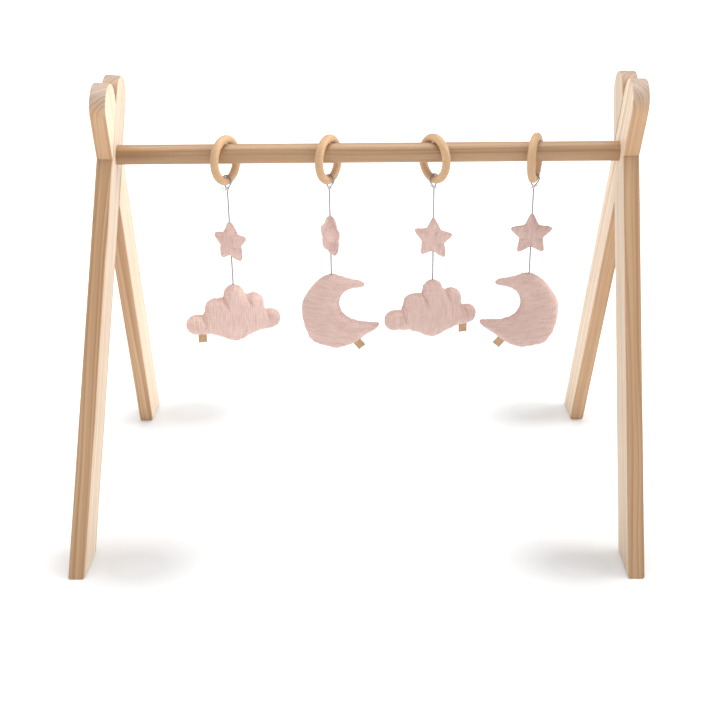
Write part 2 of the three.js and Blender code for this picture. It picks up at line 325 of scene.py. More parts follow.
def wood(name, basis, origin, heart, colours, pitch=4.0 * MM, lines=0.8, streak=None, knots=()):
    """Softwood with its grain along the first axis of basis, whose columns are along, across and through.

    heart is how far the tree's heart lies from origin, across and through. colours are those of the wide
    faces, the narrow faces, the late wood and the end grain. lines is how strongly the late wood shows.
    streak is the middle of a darker streak. knots are small branches that run across, each by its place
    along and through."""
    s = Nodes(name)
    face, edge, late, end = colours
    turn = basis.transposed()
    place = s.add("ShaderNodeTexCoord").outputs["Object"]
    inputs = {"Vector": place, "Rotation": turn.to_euler(), "Location": -(turn @ Vector(origin))}
    local = s.add("ShaderNodeMapping", inputs).outputs["Vector"]
    # The growth rings waver slowly along the length, and no two are equally wide.
    sway = s.noise(s.vector("MULTIPLY", local, (0.09, 1, 1)), 22, 2, 0.5, "Color")
    sway = s.vector("MULTIPLY", s.vector("SUBTRACT", sway, (0.5, 0.5, 0.5)), (0, 0.022, 0.022))
    about_heart = s.vector("ADD", s.vector("ADD", local, sway), (0, -heart[0], -heart[1]))
    branches = []
    for along, through in knots:
        away = s.vector("MULTIPLY", s.vector("SUBTRACT", local, (along, 0, through)), (0.45, 0, 1))
        branches.append(s.vector("LENGTH", away))
        # The rings bend round the branch.
        bulge = s.remap(branches[-1], 0.0, 0.008, 0.007, 0.0)
        bent = s.add("ShaderNodeCombineXYZ", {"Y": bulge, "Z": bulge}).outputs[0]
        about_heart = s.vector("ADD", about_heart, bent)
    ring_radius = s.vector("LENGTH", s.vector("MULTIPLY", about_heart, (0, 1, 1)))
    inputs = {"W": ring_radius, "Scale": 130.0, "Detail": 2.0}
    uneven = s.add("ShaderNodeTexNoise", inputs, noise_dimensions="1D").outputs["Fac"]
    grown = s.math("ADD", s.math("DIVIDE", ring_radius, pitch), s.math("MULTIPLY", uneven, 2.0))
    line = s.ramp(s.math("FRACT", grown), (0.0, 0.05), (0.35, 0.08), (0.78, 0.75), (0.9, 1.0), (1.0, 0.05))
    patch = s.noise(s.vector("MULTIPLY", local, (0.05, 1, 1)), 55, 3, 0.6)
    broad = s.noise(s.vector("MULTIPLY", local, (0.035, 1, 1)), 120, 3, 0.55)
    fibre = s.noise(s.vector("MULTIPLY", local, (0.018, 1, 1)), 1500, 3, 0.65)
    normal = s.add("ShaderNodeNewGeometry").outputs["True Normal"]
    narrow = s.remap(s.math("ABSOLUTE", s.vector("DOT_PRODUCT", normal, basis.col[1])), 0.25, 0.75)
    # The narrow faces take their own colour; on the legs it is darker than the wide faces' partly by grain
    # and partly as painted shade, and the wide faces' is paler partly as painted light.
    colour = s.mix(narrow, face, edge)
    darker = s.tinted(colour, 0.78, 0.66, 0.55)
    colour = s.mix(s.remap(broad, 0.35, 0.66, 0.0, 0.42), colour, darker)
    strength = s.remap(patch, 0.35, 0.65, 0.4 * lines, lines)
    late_here = s.mix(narrow, late, s.tinted(late, 0.74, 0.68, 0.62))
    colour = s.mix(s.math("MULTIPLY", line, strength), colour, late_here)
    fibres = s.tinted(colour, 0.84, 0.78, 0.72)
    colour = s.mix(s.remap(fibre, 0.3, 0.7, 0.0, 0.35), colour, fibres)
    branch_colour = s.tinted(late, 0.62, 0.5, 0.42)
    for branch in branches:
        colour = s.mix(s.remap(branch, 0.0008, 0.0030, 0.75, 0.0), colour, branch_colour)
    if streak is not None:
        around = s.vector("MULTIPLY", s.vector("SUBTRACT", local, streak), (0.12, 1, 1))
        near = s.remap(s.vector("LENGTH", around), 0.001, 0.0075, 0.85, 0.0)
        colour = s.mix(near, colour, late)
    endness = s.remap(s.math("ABSOLUTE", s.vector("DOT_PRODUCT", normal, basis.col[0])), 0.25, 0.8)
    pores = s.noise(local, 2600, 2, 0.6)
    end_colour = s.mix(s.math("MULTIPLY", line, 0.9 * lines), end, s.tinted(end, 0.58, 0.48, 0.44))
    pore_colour = s.tinted(end, 0.40, 0.32, 0.28)
    end_colour = s.mix(s.remap(pores, 0.42, 0.7, 0.0, 0.25), end_colour, pore_colour)
    colour = s.mix(endness, colour, end_colour)
    height = s.math("ADD", s.math("MULTIPLY", line, 0.5), fibre)
    rough = s.remap(fibre, 0.3, 0.7, 0.46, 0.62)
    return s.set(Base_Color=colour, Roughness=rough, Normal=s.bump(height, 0.00010, 0.45))


def varnish(material, weight, roughness):
    """A thin clear coat."""
    shader = material.node_tree.nodes["Principled BSDF"]
    shader.inputs["Coat Weight"].default_value = weight
    shader.inputs["Coat Roughness"].default_value = roughness


def muslin(name, seed, colour, shade):
    """Double gauze: a fine woven grid over soft crinkles, laid out in the cloth's own coordinates."""
    s = Nodes(name)
    cloth = s.add("ShaderNodeAttribute", attribute_name="cloth").outputs["Vector"]
    cloth = s.vector("ADD", cloth, (seed * 0.37, seed * 0.11, seed * 0.23))
    warp = s.vector("SUBTRACT", s.noise(cloth, 180, 2, 0.5, "Color"), (0.5, 0.5, 0.5))
    woven = s.vector("ADD", cloth, s.vector("MULTIPLY", warp, (0.0012, 0.0012, 0.0012)))
    grid = s.math("MAXIMUM", *s.bands(woven, 320, 0.4, 2.0))
    # The two layers are tacked together in a grid of small squares, and puff up between the tacks.
    puff = s.math("MULTIPLY", *s.bands(woven, 118, 1.2, 1.0))
    # The crinkles run up and down the cloth.
    ribs = s.noise(s.vector("MULTIPLY", woven, (1, 1, 0.2)), 340, 2, 0.5)
    cross = s.noise(s.vector("MULTIPLY", woven, (0.3, 1, 1)), 190, 2, 0.5)
    slub = s.noise(cloth, 60, 3, 0.55)
    height = s.math("ADD", s.math("MULTIPLY", ribs, 0.8), s.math("MULTIPLY", cross, 0.3))
    height = s.math("ADD", height, s.math("MULTIPLY", puff, 0.35))
    crinkle = s.bump(height, 0.0015, 0.9)
    weave = s.bump(grid, 0.00012, 0.5, crinkle)
    # Painted shade: the muslin takes its shade colour in the low parts of its crinkles, between its threads
    # and along its tacks. The slub is the cloth's own uneven tone.
    tint = s.mix(s.remap(ribs, 0.38, 0.62, 0.75, 0.0), colour, shade)
    tint = s.mix(s.remap(slub, 0.35, 0.65, 0.0, 0.35), tint, shade)
    tint = s.mix(s.remap(grid, 0.2, 0.9, 0.30, 0.0), tint, shade)
    tint = s.mix(s.remap(puff, 0.1, 0.7, 0.6, 0.0), tint, shade)
    # The seam attribute darkens the muslin along the seam, and in the folds between lobes, where it is
    # painted shade.
    seam = s.add("ShaderNodeAttribute", attribute_name="seam").outputs["Fac"]
    tint = s.mix(s.math("MULTIPLY", seam, 0.5), tint, s.tinted(shade, 0.84, 0.78, 0.78))
    s.set(Base_Color=tint, Roughness=0.92, Normal=weave, Sheen_Weight=0.2, Sheen_Roughness=0.5)
    s.shader.inputs["Specular IOR Level"].default_value = 0.2
    return s.material


def twine(name, colour, shade):
    """Cotton twine: fine fibres over the plies, which are modelled."""
    s = Nodes(name)
    place = s.add("ShaderNodeTexCoord").outputs["Object"]
    fuzz = s.noise(place, 4000, 3, 0.6)
    soil = s.noise(place, 500, 2, 0.5)
    tint = s.mix(s.remap(s.math("ADD", fuzz, soil), 0.8, 1.2), shade, colour)
    return s.set(Base_Color=tint, Roughness=0.9, Normal=s.bump(fuzz, 0.00015, 0.6), Sheen_Weight=0.2)


def label(name, colour, shade):
    """Soft, mottled leather."""
    s = Nodes(name)
    place = s.add("ShaderNodeTexCoord").outputs["Object"]
    grain = s.noise(place, 900, 4, 0.6)
    fleck = s.noise(place, 260, 2, 0.5)
    both = s.math("MULTIPLY", s.math("ADD", grain, fleck), 0.5)
    tint = s.mix(s.remap(both, 0.38, 0.62), shade, colour)
    return s.set(Base_Color=tint, Roughness=0.75, Normal=s.bump(grain, 0.0002, 0.6))


def metal(name, colour, roughness):
    """Plated or turned metal, finely brushed."""
    s = Nodes(name)
    place = s.add("ShaderNodeTexCoord").outputs["Object"]
    brushed = s.noise(place, 1800, 3, 0.6)
    tint = s.mix(s.remap(brushed, 0.3, 0.7, 0.0, 0.3), colour, s.tinted(colour, 0.7, 0.7, 0.7))
    rough = s.remap(brushed, 0.3, 0.7, roughness - 0.08, roughness + 0.1)
    return s.set(Base_Color=tint, Metallic=1.0, Roughness=rough, Normal=s.bump(brushed, 0.00005, 0.4))


# ---- Cords, loops and knots ----

STRING = twine("string_twine", linear(172, 165, 167), linear(150, 143, 146))
STRING_ENDS = twine("string_ends", linear(232, 229, 230), linear(204, 199, 201))
CORD_RADIUS = 1.0 * MM  # a hair over its CAD solid's, because the plies leave grooves
CORD_SINK = 4 * MM  # how far a cord runs on inside the cloth that it is sewn into

for hanger in HANGERS:
    n, x = hanger["n"], hanger["x"]
    runs = {
        "upper": (KNOT_Z, hanger["star_top"] - CORD_SINK, f"strand_{n}"),
        "lower": (hanger["notch"] + CORD_SINK, hanger["top"] - CORD_SINK, f"lower_strand_{n}"),
    }
    for run_name, (start, end, body) in runs.items():
        route = [(x, 0, start + (end - start) * i / 19) for i in range(20)]
        cord = link_mesh(f"twine_{run_name}_{n}", *twisted(route, CORD_RADIUS))
        set_material(cord, STRING)
        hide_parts(f"{run_name}_cord_{n}")
        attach(cord, body)


def loop_route(drop):
    """The cord's way round a ring's rod, in the plane across the rod: round the top, then together at the
    knot, which is drop below the rod's middle."""
    leave = math.acos(LOOP_RADIUS / drop)
    angles = np.linspace(leave, 2 * math.pi - leave, 40)
    arc = [(LOOP_RADIUS * math.sin(a), -LOOP_RADIUS * math.cos(a)) for a in angles]
    return [(0.25 * MM, -drop)] + arc + [(-0.25 * MM, -drop)]


# Each knot's two tails: how far each reaches along the bar, and the rise of its bend and of its end, in mm.
KNOT_TAILS = {
    1: [(-5.6, 1.6, 0.8), (-4.8, -0.6, -2.6)],
    2: [(3.4, 2.6, 4.4), (3.6, 0.4, -1.2)],
    3: [(-4.6, 1.4, 2.2), (3.8, 0.2, -2.4)],
    4: [(4.6, 1.8, 1.2), (-4.0, 0.2, -2.2)],
}


def knot_parts(n):
    """An overhand knot in the twine with two cut tails, each frayed at its end. Around (0, 0, 0)."""
    rng = np.random.default_rng(40 + n)
    t = np.linspace(0, 2 * math.pi, 61)
    size = 0.66 * MM
    trefoil = [np.sin(t) + 2 * np.sin(2 * t), -np.sin(3 * t), np.cos(t) - 2 * np.cos(2 * t)]
    parts = [twisted(size * np.stack(trefoil, 1), 0.85 * CORD_RADIUS, pitch=3.4 * MM)]
    for reach, rise, drop in KNOT_TAILS[n]:
        start = np.array((0, 0, 0))
        bend = np.array((0.55 * reach, -0.8, rise))
        tip = np.array((reach, -1.2, drop))
        u = np.linspace(0, 1, 12)[:, None]
        tail = ((1 - u) ** 2 * start + 2 * u * (1 - u) * bend + u**2 * tip) * MM
        parts.append(twisted(tail, 0.8 * CORD_RADIUS, pitch=3.4 * MM))
        out = (tip - bend) / np.linalg.norm(tip - bend)
        for _ in range(9):
            spread = rng.uniform(-0.55, 0.55, 3)
            length = rng.uniform(1.2, 2.4)
            root = tip - 0.6 * out + 0.35 * spread
            end = root + (out + spread) * length
            middle = (root + end) / 2 + 0.2 * rng.uniform(-1, 1, 3)
            thread = ((1 - u) ** 2 * root + 2 * u * (1 - u) * middle + u**2 * end) * MM
            parts.append(tube(thread, 0.13 * MM, 5))
    return joined(parts)


for hanger in HANGERS:
    n = hanger["n"]
    low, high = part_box(f"ring_{n}")
    rod = (low.z + high.z) / 2 - RING_RADIUS
    across = Matrix.Rotation(math.radians(hanger["ring"]), 3, "Z") @ Vector((1, 0, 0))
    route = [(hanger["x"] + across.x * u, across.y * u, rod + w) for u, w in loop_route(rod - KNOT_Z)]
    loop = link_mesh(f"tied_loop_{n}", *twisted(route, LOOP_CORD))
    set_material(loop, STRING)
    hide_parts(f"loop_{n}")
    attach(loop, f"hanging_ring_{n}")
    points, faces = knot_parts(n)
    knot = link_mesh(f"tied_knot_{n}", points + np.array((hanger["x"], 0, KNOT_Z)), faces)
    set_material(knot, STRING_ENDS)
    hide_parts(f"knot_{n}")
    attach(knot, f"strand_{n}")

# ---- Wooden frame ----


def smooth_edges():
    """A node group that shades everything smooth but its edges over 40 degrees."""
    group = bpy.data.node_groups.new("smooth_by_angle", "GeometryNodeTree")
    group.interface.new_socket("Geometry", in_out="INPUT", socket_type="NodeSocketGeometry")
    group.interface.new_socket("Geometry", in_out="OUTPUT", socket_type="NodeSocketGeometry")
    entry = group.nodes.new("NodeGroupInput")
    leave = group.nodes.new("NodeGroupOutput")
    angle = group.nodes.new("GeometryNodeInputMeshEdgeAngle")
    sharp = group.nodes.new("FunctionNodeCompare")
    sharp.data_type, sharp.operation = "FLOAT", "GREATER_THAN"
    sharp.inputs[1].default_value = math.radians(40)
    faces = group.nodes.new("GeometryNodeSetShadeSmooth")
    faces.domain = "FACE"
    edges = group.nodes.new("GeometryNodeSetShadeSmooth")
    edges.domain = "EDGE"
    edges.inputs["Shade Smooth"].default_value = False
    for a, b in (
        (entry.outputs[0], faces.inputs["Geometry"]),
        (faces.outputs[0], edges.inputs["Geometry"]),
        (angle.outputs["Unsigned Angle"], sharp.inputs[0]),
        (sharp.outputs["Result"], edges.inputs["Selection"]),
        (edges.outputs[0], leave.inputs[0]),
    ):
        group.links.new(a, b)
    return group


SMOOTH = smooth_edges()


def keep_node(name, material):
    """A CAD node stays as it is, welded and smoothly shaded, with a better material."""
    node = nodes[name]
    if "custom_normal" in node.data.attributes:
        node.data.attributes.remove(node.data.attributes["custom_normal"])
    weld = node.modifiers.new("weld", "WELD")
    weld.merge_threshold = 1e-6
    node.modifiers.new("smooth", "NODES").node_group = SMOOTH
    weighted = node.modifiers.new("normals", "WEIGHTED_NORMAL")
    weighted.keep_sharp = True
    set_material(node, material)


# Colours of the wide faces, the narrow faces, the late wood and the end grain.
# The wide faces are paler and the narrow faces darker and more orange, partly for their grain and partly as
# painted light and shade: painted light on the wide faces, which face the side lamps, and painted shade on
# the narrow front faces.
PINE = ((213, 197, 176), (188, 155, 121), (168, 125, 84), (176, 156, 140))
BAR_WOOD = [linear(*colour) for colour in ((173, 138, 100), (173, 138, 100), (136, 94, 56), (170, 136, 106))]
# The legs' grain is measured from the middle of a leg's box at the height of the crossing, which on the
# leaning left side is 12 mm outside the middle of the wood there. HEARTS says where the heart of each leg's
# tree lies, across and through.
HEARTS = {
    "left_front": (0.045, -0.05),
    "left_back": (-0.06, 0.035),
    "right_front": (0.05, -0.045),
    "right_back": (-0.04, -0.055),
}
# Painted light: each leg's colour is made a little lighter or darker, the back legs' lighter, standing in
# for more light falling on them.
LEG_PAINTED_LIGHT = {"left_front": 1.0, "left_back": 1.07, "right_front": 0.99, "right_back": 1.06}
# Small branches that run across the legs: how far down from the crossing each lies, and how far through.
# The first lies just under the leg's outer face. The others are outside the wood and only bend its grain.
LEG_KNOTS = {
    "leg_left_front": [(0.078, 0.003), (0.318, -0.003)],
    "leg_left_back": [(0.16, -0.002)],
}
for side, outward, lean in (("left", -1, LEFT_LEAN), ("right", 1, 0.0)):
    for place, direction in (("front", -1), ("back", 1)):
        name = f"leg_{side}_{place}"
        tilt = Matrix.Rotation(-outward * lean, 3, "Y")
        down = tilt @ Vector((0, direction * math.sin(LEG_TILT), -math.cos(LEG_TILT)))
        through = tilt @ Vector((1, 0, 0))
        basis = Matrix((down, through.cross(down), through)).transposed()
        low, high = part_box(name)
        origin = ((low.x + high.x) / 2, 0, BAR_HEIGHT)
        knots = LEG_KNOTS.get(name, ())
        board = f"{side}_{place}"
        colours = [linear(*(LEG_PAINTED_LIGHT[board] * c for c in colour)) for colour in PINE]
        pine = wood(f"pine_{board}", basis, origin, HEARTS[board], colours, knots=knots)
        keep_node(name, pine)

# A darker streak runs in the front of the bar, near its left end.
bar_streak = (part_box("crossbar")[0].x + 0.018, -0.0105, 0.001)
bar_material = wood(
    "bar_grain",
    Matrix.Identity(3),
    (0, 0, BAR_HEIGHT),
    (0.03, 0.06),
    BAR_WOOD,
    pitch=5.0 * MM,
    lines=0.6,
    streak=bar_streak,
)
varnish(bar_material, 0.5, 0.4)
keep_node("crossbar", bar_material)
STEEL = metal("zinc_steel", linear(196, 197, 200), 0.34)
BRASS = metal("turned_brass", linear(200, 166, 104), 0.36)
for side in ("left", "right"):
    keep_node(f"bolt_{side}", STEEL)
    keep_node(f"washer_{side}", STEEL)
    keep_node(f"insert_{side}", BRASS)

# ---- Rings ----


def torus(name, centre, radius, rod, turn, segments=128, sides=32):
    """A ring that stands up, with its axis along X before it is turned about the vertical."""
    u = np.arange(segments) * 2 * math.pi / segments
    v = np.arange(sides) * 2 * math.pi / sides
    uu, vv = np.meshgrid(u, v, indexing="ij")
    reach = radius + rod * np.cos(vv)
    points = np.stack([rod * np.sin(vv), reach * np.cos(uu), reach * np.sin(uu)], -1).reshape(-1, 3)
    rotation = np.array(Matrix.Rotation(math.radians(turn), 3, "Z"))
    points = points @ rotation.T + np.array(centre)
    faces = []
    for i in range(segments):
        for j in range(sides):
            a, b = i * sides + j, i * sides + (j + 1) % sides
            c, d = ((i + 1) % segments) * sides + (j + 1) % sides, ((i + 1) % segments) * sides + j
            faces.append((a, b, c, d))
    return link_mesh(name, points, faces)


RING_COLOURS = ((201, 165, 124), (197, 159, 117), (170, 127, 84), (195, 159, 121))
RING_WOOD = [linear(*colour) for colour in RING_COLOURS]
for hanger in HANGERS:
    n = hanger["n"]
    low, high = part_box(f"ring_{n}")
    centre = Vector((hanger["x"], 0, (low.z + high.z) / 2))
    ring = torus(f"wooden_ring_{n}", centre, RING_RADIUS, RING_ROD, hanger["ring"])
    basis = Matrix.Rotation(math.radians(hanger["ring"] + 90), 3, "Z") @ Matrix.Rotation(0.5 * n, 3, "X")
    heart = (0.05, 0.02 + 0.01 * n)
    material = wood(f"ring_grain_{n}", basis, centre, heart, RING_WOOD, pitch=3.2 * MM, lines=0.22)
    varnish(material, 0.25, 0.35)
    set_material(ring, material)
    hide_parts(f"ring_{n}")
    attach(ring, f"hanging_ring_{n}")

# ---- Stuffed toys ----


def rounded_star():
    """A star's outline, its tips and notches rounded with parabolas."""
    corners = []
    for i in range(10):
        radius = STAR_NOTCH if i % 2 else STAR_TIP
        angle = math.pi / 2 + i * math.pi / 5
        corners.append(np.array((radius * math.cos(angle), radius * math.sin(angle))))
    outline = []
    for i, corner in enumerate(corners):
        rounding = STAR_NOTCH_ROUNDING if i % 2 else STAR_TIP_ROUNDING
        ends = []
        for other in (corners[i - 1], corners[(i + 1) % 10]):
            ends.append(corner + (other - corner) / np.linalg.norm(other - corner) * rounding)
        for t in np.linspace(0, 1, 8):
            outline.append((1 - t) ** 2 * ends[0] + 2 * t * (1 - t) * corner + t**2 * ends[1])
    return np.array(outline)


def cloud_outline():
    """How far the cloud's circles reach from its middle, in every direction."""
    middle = np.array(CLOUD_MIDDLE, float)
    outline = []
    for angle in np.linspace(0, 2 * math.pi, 720, endpoint=False) + math.pi / 2:
        direction = np.array((math.cos(angle), math.sin(angle)))
        reach = 0
        for cx, cz, r in CLOUD_CIRCLES:
            offset = np.array((cx, cz)) - middle
            along = offset @ direction
            across = offset[0] * direction[1] - offset[1] * direction[0]
            if abs(across) < r:
                reach = max(reach, along + math.sqrt(r * r - across * across))
        outline.append(middle + reach * direction)
    return np.array(outline)


def moon_outline(side):
    """A smooth curve through the moon's edge points, opening to the given side."""
    corners = np.array(MOON_EDGE, float) * (side, 1)
    outline = []
    for i in range(len(corners)):
        a, b, c, d = (corners[(i + k) % len(corners)] for k in (-1, 0, 1, 2))
        square, cube = 2 * a - 5 * b + 4 * c - d, 3 * b - a - 3 * c + d
        for t in np.linspace(0, 1, 12, endpoint=False):
            outline.append(0.5 * (2 * b + (c - a) * t + square * t**2 + cube * t**3))
    return np.array(outline)


def resample(outline, step):
    """Points a step apart along a closed outline, counterclockwise."""
    closed = np.vstack([outline, outline[:1]])
    area = np.sum(closed[:-1, 0] * closed[1:, 1] - closed[1:, 0] * closed[:-1, 1])
    if area < 0:
        closed = closed[::-1]
    lengths = np.concatenate([[0], np.cumsum(np.linalg.norm(np.diff(closed, axis=0), axis=1))])
    count = int(round(lengths[-1] / step))
    places = np.linspace(0, lengths[-1], count, endpoint=False)
    return np.stack([np.interp(places, lengths, closed[:, k]) for k in (0, 1)], 1)


def distance_to(outline, points):
    """How far each point is from a closed outline."""
    best = np.full(len(points), 1e9)
    for a, b in zip(outline, np.roll(outline, -1, axis=0)):
        ab = b - a
        t = np.clip((points - a) @ ab / (ab @ ab), 0, 1)
        best = np.minimum(best, np.linalg.norm(points - (a + t[:, None] * ab), axis=1))
    return best


def inside(outline, points):
    """Which points lie within a closed outline."""
    crossings = np.zeros(len(points), int)
    for a, b in zip(outline, np.roll(outline, -1, axis=0)):
        spans = (a[1] > points[:, 1]) != (b[1] > points[:, 1])
        with np.errstate(divide="ignore", invalid="ignore"):
            at = a[0] + (points[:, 1] - a[1]) * (b[0] - a[0]) / (b[1] - a[1])
        crossings += spans & (points[:, 0] < at)
    return crossings % 2 == 1


def filled_height(flat, faces, edge, step, plumpness, limit):
    """How far the filling lifts the cloth at each point: like a film blown up over the outline, levelled off
    near the limit."""
    count = len(flat)
    touches = np.zeros((count, count))
    for face in faces:
        for k in range(3):
            touches[face[k], face[k - 1]] = touches[face[k - 1], face[k]] = 1
    free = np.flatnonzero(~edge)
    matrix = np.diag(touches.sum(1)[free]) - touches[np.ix_(free, free)]
    film = np.zeros(count)
    film[free] = np.linalg.solve(matrix, np.full(len(free), 1.5 * step**2))
    height = 2 * plumpness * np.sqrt(np.clip(film, 0, None))
    return height / (1 + (height / limit) ** 3) ** (1 / 3)


def two_panels(outline, step, plumpness, limit, seed):
    """Two panels of cloth, sewn together along one outline in the XZ plane and filled. Millimetres."""
    rng = np.random.default_rng(seed)
    rim = resample(outline, step)
    low, high = rim.min(0), rim.max(0)
    rows = []
    for j, z in enumerate(np.arange(low[1], high[1], step * math.sqrt(3) / 2)):
        xs = np.arange(low[0], high[0], step) + (j % 2) * step / 2
        rows.append(np.stack([xs, np.full(len(xs), z)], 1))
    grid = np.vstack(rows)
    grid += rng.uniform(-0.1, 0.1, grid.shape) * step
    grid = grid[inside(rim, grid)]
    grid = grid[distance_to(rim, grid) > 0.6 * step]
    flat = np.vstack([rim, grid])
    vertices, _, faces, *_ = geometry.delaunay_2d_cdt(
        [Vector(p) for p in flat], [], [list(range(len(rim)))], 1, 1e-4
    )
    flat = np.array([tuple(v) for v in vertices])
    depth = distance_to(rim, flat)
    edge = depth < 1e-3
    height = filled_height(flat, faces, edge, step, plumpness, limit)
    front = np.stack([flat[:, 0], -height, flat[:, 1]], 1)
    back_index = np.arange(len(flat))
    back_index[~edge] = len(flat) + np.arange((~edge).sum())
    back = np.stack([flat[:, 0], height, flat[:, 1]], 1)[~edge]
    points = np.vstack([front, back])
    made = []
    for face in faces:
        a, b, c = (flat[i] for i in face)
        if (b[0] - a[0]) * (c[1] - a[1]) - (b[1] - a[1]) * (c[0] - a[0]) < 0:
            face = face[::-1]
        made.append(tuple(face))
        made.append(tuple(int(back_index[i]) for i in reversed(face)))
    return points, made, edge, np.concatenate([depth, depth[~edge]])


def blow_up(piece, points, scale, slack, pressure):
    """Fills a toy: a cloth simulation with the seam held, at scale metres to the millimetre."""
    cloth = piece.modifiers.new("cloth", "CLOTH")
    cloth.settings.quality = 6
    cloth.settings.mass = 0.2
    cloth.settings.air_damping = 2
    cloth.settings.tension_stiffness = 25
    cloth.settings.compression_stiffness = 25
    cloth.settings.shear_stiffness = 8
    cloth.settings.bending_stiffness = 0.5
    cloth.settings.use_pressure = True
    cloth.settings.uniform_pressure_force = pressure
    cloth.settings.shrink_min = -slack
    cloth.settings.vertex_group_mass = "held"
    cloth.settings.pin_stiffness = 1
    cloth.settings.effector_weights.gravity = 0
    cloth.collision_settings.use_collision = False
    last_frame = 18
    cloth.point_cache.frame_start, cloth.point_cache.frame_end = 1, last_frame
    for step_frame in range(1, last_frame + 1):
        scene.frame_set(step_frame)
    blown = piece.evaluated_get(bpy.context.evaluated_depsgraph_get())
    place = np.zeros(len(points) * 3, np.float32)
    blown.to_mesh().vertices.foreach_get("co", place)
    blown.to_mesh_clear()
    piece.modifiers.remove(cloth)
    scene.frame_set(1)
    return place.reshape(-1, 3).astype(float) / scale


def stuff(name, outline, step, thickness, plumpness, seed, rib_turn, folds, fold_depth):
    """Sews and fills a toy in the XZ plane, thickness mm from front to back.

    Its ribs run up and down, or rib_turn degrees from that. folds are the creases between its lobes, each
    from the seam to where it runs out, in mm. fold_depth is in metres."""
    points, faces, edge, depth = two_panels(outline, step, plumpness, thickness / 2, seed)
    scale = 0.006  # the simulation runs at six times the real size
    piece = link_mesh(name, points * scale, faces)
    mesh = piece.data
    cloth_place = points * (MM, 0, MM) @ np.array(Matrix.Rotation(math.radians(rib_turn), 3, "Y")).T
    cloth_place[len(edge) :, 1] = BACK_CLOTH
    attribute = mesh.attributes.new("cloth", "FLOAT_VECTOR", "POINT")
    attribute.data.foreach_set("vector", cloth_place.astype(np.float32).ravel())
    seam = mesh.attributes.new("seam", "FLOAT", "POINT")
    seam.data.foreach_set("value", np.exp(-depth / 1.5).astype(np.float32))
    on_seam = depth < 1e-3
    crease = mesh.attributes.new("crease_edge", "FLOAT", "EDGE")
    for i, made_edge in enumerate(mesh.edges):
        start, end = made_edge.vertices
        crease.data[i].value = SEAM_CREASE * (on_seam[start] and on_seam[end])
    held = piece.vertex_groups.new(name="held")
    held.add([int(i) for i in np.flatnonzero(on_seam)], 1.0, "REPLACE")
    points = blow_up(piece, points, scale, SLACK, PRESSURE)
    piece.vertex_groups.clear()
    points = points * (MM, MM * thickness / np.ptp(points[:, 1]), MM)
    mesh.vertices.foreach_set("co", points.astype(np.float32).ravel())
    mesh.update()
    crinkle(piece, folds, fold_depth, seed)
    return piece


def in_folds(flat, folds):
    """How deep each point lies in a fold, from 0 to 1."""
    deep = np.zeros(len(flat))
    for start, end in folds:
        run = np.subtract(end, start)
        t = np.clip((flat - start) @ run / (run @ run), 0, 1)
        off = np.linalg.norm(flat - (start + t[:, None] * run), axis=1)
        deep = np.maximum(deep, (1 - t) ** 0.7 * np.exp(-((off / FOLD_WIDTH) ** 2)))
    return deep


def crinkle(piece, folds, fold_depth, seed):
    """The cloth's own relief in the mesh: folds between lobes, soft ribs, and puckers beside the seam."""
    finer = piece.modifiers.new("finer", "SUBSURF")
    finer.levels = finer.render_levels = 1
    mesh = bpy.data.meshes.new_from_object(piece.evaluated_get(bpy.context.evaluated_depsgraph_get()))
    piece.modifiers.remove(finer)
    piece.data = mesh
    count = len(mesh.vertices)
    place, normal, cloth = np.zeros(count * 3), np.zeros(count * 3), np.zeros(count * 3)
    seam = np.zeros(count)
    mesh.vertices.foreach_get("co", place)
    mesh.vertices.foreach_get("normal", normal)
    mesh.attributes["cloth"].data.foreach_get("vector", cloth)
    mesh.attributes["seam"].data.foreach_get("value", seam)
    place = place.reshape(-1, 3)
    deep = in_folds(place[:, ::2] / MM, folds)
    height = np.abs(place[:, 1])
    place[:, 1] -= np.sign(place[:, 1]) * np.minimum(fold_depth * deep, 0.6 * height)
    relief = np.zeros(count)
    for i, (x, side, z) in enumerate(cloth.reshape(-1, 3) / MM):
        rib = noise.noise((x * RIB_PITCH, z * RIB_PITCH * 0.25, seed + side))
        pucker = noise.noise((x * PUCKER_PITCH, z * PUCKER_PITCH, 50 + seed + side))
        relief[i] = RIB_HEIGHT * rib * (1 - seam[i]) + PUCKER_HEIGHT * pucker * 4 * seam[i] * (1 - seam[i])
    mesh.vertices.foreach_set("co", (place + relief[:, None] * normal.reshape(-1, 3)).ravel())
    # Painted shade: the folds are written into the seam attribute as well, so that the muslin darkens in
    # them.
    mesh.attributes["seam"].data.foreach_set("value", np.maximum(seam, 0.7 * deep).astype(np.float32))
    mesh.polygons.foreach_set("use_smooth", [True] * len(mesh.polygons))
    mesh.update()


def finish_toy(piece, centre, turn, replaced, body, material):
    """Puts the filled toy where its CAD solid is, turned about the vertical through centre."""
    piece.data.transform(Matrix.Translation(centre) @ Matrix.Rotation(math.radians(turn), 4, "Z"))
    set_material(piece, material)
    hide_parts(replaced)
    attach(piece, body)


SLACK, PRESSURE = 0.02, 5  # how much larger the cloth is than its pattern, and the pressure inside it
BACK_CLOTH = 0.05  # how far off the back panel's weave is laid out, so that it differs from the front's
SEAM_CREASE = 0.6  # how sharp the seam stays when the mesh is made finer
# Pitches are per mm.
RIB_PITCH, RIB_HEIGHT = 0.36, 0.42 * MM
PUCKER_PITCH, PUCKER_HEIGHT = 0.42, 0.4 * MM
FOLD_WIDTH = 1.8  # mm
CLOUD_FOLDS = [
    ((-13, -14.5), (-8, -29)),
    ((13.5, -12), (20, -27)),
    ((-38.5, -34), (-35, -47)),
    ((37, -34), (41, -47)),
]
CLOUD_FOLD, STAR_FOLD = 4.5 * MM, 1.4 * MM  # how deep the folds are
